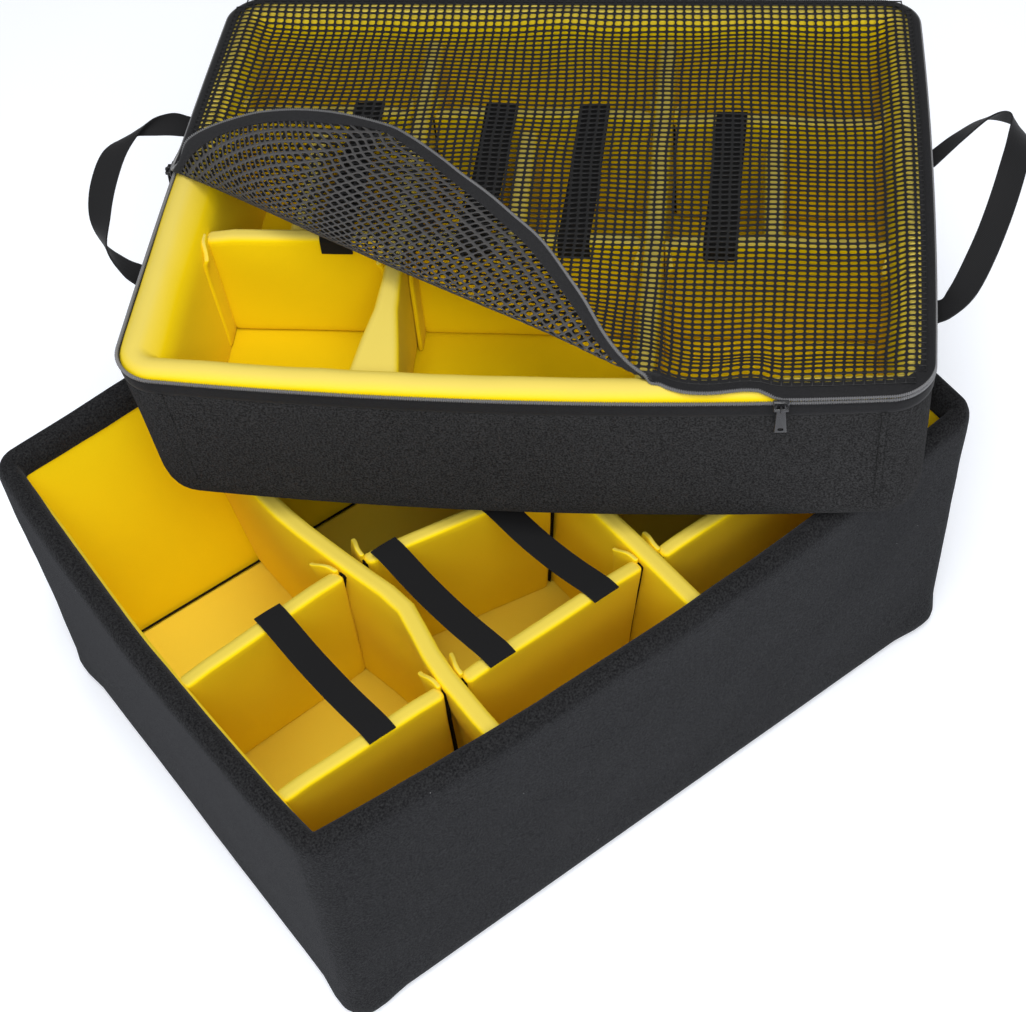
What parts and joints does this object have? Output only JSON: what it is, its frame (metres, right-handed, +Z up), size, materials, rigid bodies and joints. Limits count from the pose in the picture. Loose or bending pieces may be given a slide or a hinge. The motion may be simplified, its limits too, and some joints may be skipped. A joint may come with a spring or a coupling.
{
  "type": "case divider set",
  "caption": "Padded black and yellow insert for a deep equipment case: an open box with upright dividers and a zipped, net-topped tray that rests on its rim.",
  "frame": {"origin": "centre of the box's underside", "axes": "+X along the box's long side, +Y to its back, +Z up out of its open top"},
  "size_m": [0.9228, 0.7893, 0.518],
  "materials": {
    "black_cloth": "woven nylon",
    "yellow_cloth": "brushed loop cloth",
    "foam": "closed-cell foam sheet",
    "board": "fluted plastic board",
    "webbing": "woven webbing",
    "zip_tape": "woven tape with a coil",
    "net": "knitted mesh",
    "dark_metal": "painted zinc"
  },
  "bodies": {
    "box": {"box_back_foam": "foam", "box_base_board": "board", "box_base_cover": "black_cloth", "box_floor_pad": "yellow_cloth", "box_front_foam": "foam", "box_left_foam": "foam", "box_liner": "yellow_cloth", "box_long_divider_1": "yellow_cloth", "box_long_divider_2": "yellow_cloth", "box_right_foam": "foam", "box_side_cover": "black_cloth"},
    "box_left_set": {"box_left_front_divider": "yellow_cloth", "box_left_rear_divider": "yellow_cloth"},
    "box_middle_set": {"box_middle_front_divider": "yellow_cloth", "box_middle_rear_divider": "yellow_cloth", "box_middle_strap_2": "webbing"},
    "box_left_strap": {"box_left_strap": "webbing"},
    "box_middle_strap_1": {"box_middle_strap_1": "webbing"},
    "box_right_front_divider": {"box_right_front_divider": "yellow_cloth"},
    "box_right_rear_divider": {"box_right_rear_divider": "yellow_cloth"},
    "tray": {"tray_back_foam": "foam", "tray_base_board": "board", "tray_base_cover": "black_cloth", "tray_cross_divider_1": "yellow_cloth", "tray_cross_divider_2": "yellow_cloth", "tray_floor_pad": "yellow_cloth", "tray_front_foam": "foam", "tray_left_foam": "foam", "tray_liner": "yellow_cloth", "tray_right_foam": "foam", "tray_side_cover": "black_cloth", "tray_zip": "zip_tape", "left_handle_front_tab": "webbing", "left_handle_rear_tab": "webbing", "right_handle_front_tab": "webbing", "right_handle_rear_tab": "webbing"},
    "tray_left_set": {"tray_left_front_divider": "yellow_cloth", "tray_left_rear_divider": "yellow_cloth", "tray_left_strap": "webbing", "tray_left_stub": "yellow_cloth"},
    "tray_middle_set": {"tray_middle_front_divider": "yellow_cloth", "tray_middle_rear_divider": "yellow_cloth", "tray_middle_strap_1": "webbing", "tray_middle_strap_2": "webbing", "tray_middle_stub": "yellow_cloth"},
    "tray_right_set": {"tray_right_front_divider": "yellow_cloth", "tray_right_rear_divider": "yellow_cloth", "tray_right_strap": "webbing", "tray_right_stub": "yellow_cloth"},
    "lid": {"lid_tape": "zip_tape", "lid_net": "net"},
    "lid_corner": {"lid_corner_tape": "zip_tape", "lid_corner_net": "net"},
    "front_slider": {"front_slider": "dark_metal"},
    "left_slider": {"left_slider": "dark_metal"},
    "front_pull": {"front_pull": "dark_metal"},
    "left_pull": {"left_pull": "dark_metal"},
    "left_handle": {"left_handle": "webbing"},
    "right_handle": {"right_handle": "webbing"}
  },
  "joints": [
    {"name": "tray_lift", "type": "slide", "parent": "box", "child": "tray", "axis": [0, 0, 1], "range_m": [0, 0.25]},
    {"name": "lid_hinge", "type": "hinge", "parent": "tray", "child": "lid", "pos_m": [0.32387, 0.27268, 0.46725], "axis": [-0.7396, 0.673, 0], "range_deg": [0, 170]},
    {"name": "corner_fold", "type": "hinge", "parent": "lid", "child": "lid_corner", "pos_m": [-0.09227, 0.30197, 0.47645], "axis": [0.3133, -0.9497, 0], "range_deg": [0, 171]},
    {"name": "front_slider_run", "type": "hinge", "parent": "tray", "child": "front_slider", "pos_m": [2.23075, 2.36832, 0.4653], "axis": [0, 0, 1], "range_deg": [-7.8, 1.2]},
    {"name": "front_pull_hinge", "type": "hinge", "parent": "front_slider", "child": "front_pull", "pos_m": [0.12808, -0.25066, 0.4653], "axis": [-0.7797, 0.6261, 0], "range_deg": [0, 150]},
    {"name": "left_pull_hinge", "type": "hinge", "parent": "left_slider", "child": "left_pull", "pos_m": [-0.0971, 0.32289, 0.4653], "axis": [0.6967, 0.7173, 0], "range_deg": [0, 150]},
    {"name": "left_slider_run", "type": "slide", "parent": "tray", "child": "left_slider", "axis": [0.6967, 0.7173, 0], "range_m": [-0.084, 0.056]},
    {"name": "left_handle_hinge", "type": "hinge", "parent": "tray", "child": "left_handle", "pos_m": [-0.17366, 0.23549, 0.4453], "axis": [0.6924, 0.7215, 0], "range_deg": [-105, 62]},
    {"name": "right_handle_hinge", "type": "hinge", "parent": "tray", "child": "right_handle", "pos_m": [0.31072, -0.23923, 0.4453], "axis": [-0.6787, -0.7344, 0], "range_deg": [-109, 64]},
    {"name": "box_left_set_slide", "type": "slide", "parent": "box", "child": "box_left_set", "axis": [0, 1, 0], "range_m": [-0.029, 0.15]},
    {"name": "box_middle_set_slide", "type": "slide", "parent": "box", "child": "box_middle_set", "axis": [0, 1, 0], "range_m": [-0.029, 0.132]},
    {"name": "box_right_front_slide", "type": "slide", "parent": "box", "child": "box_right_front_divider", "axis": [0, 1, 0], "range_m": [-0.029, 0.095]},
    {"name": "box_right_rear_slide", "type": "slide", "parent": "box", "child": "box_right_rear_divider", "axis": [0, 1, 0], "range_m": [-0.095, 0.15]},
    {"name": "box_left_strap_peel", "type": "hinge", "parent": "box_left_set", "child": "box_left_strap", "pos_m": [-0.25175, -0.20355, 0.2953], "axis": [1, 0, 0], "range_deg": [0, 150]},
    {"name": "box_middle_strap_1_peel", "type": "hinge", "parent": "box_middle_set", "child": "box_middle_strap_1", "pos_m": [-0.12856, -0.20355, 0.2953], "axis": [1, 0, 0], "range_deg": [0, 150]},
    {"name": "tray_left_set_slide", "type": "slide", "parent": "tray", "child": "tray_left_set", "axis": [0.673, 0.7396, 0], "range_m": [-0.118, 0.062]},
    {"name": "tray_middle_set_slide", "type": "slide", "parent": "tray", "child": "tray_middle_set", "axis": [0.673, 0.7396, 0], "range_m": [-0.118, 0.062]},
    {"name": "tray_right_set_slide", "type": "slide", "parent": "tray", "child": "tray_right_set", "axis": [0.673, 0.7396, 0], "range_m": [-0.118, 0.062]}
  ]
}
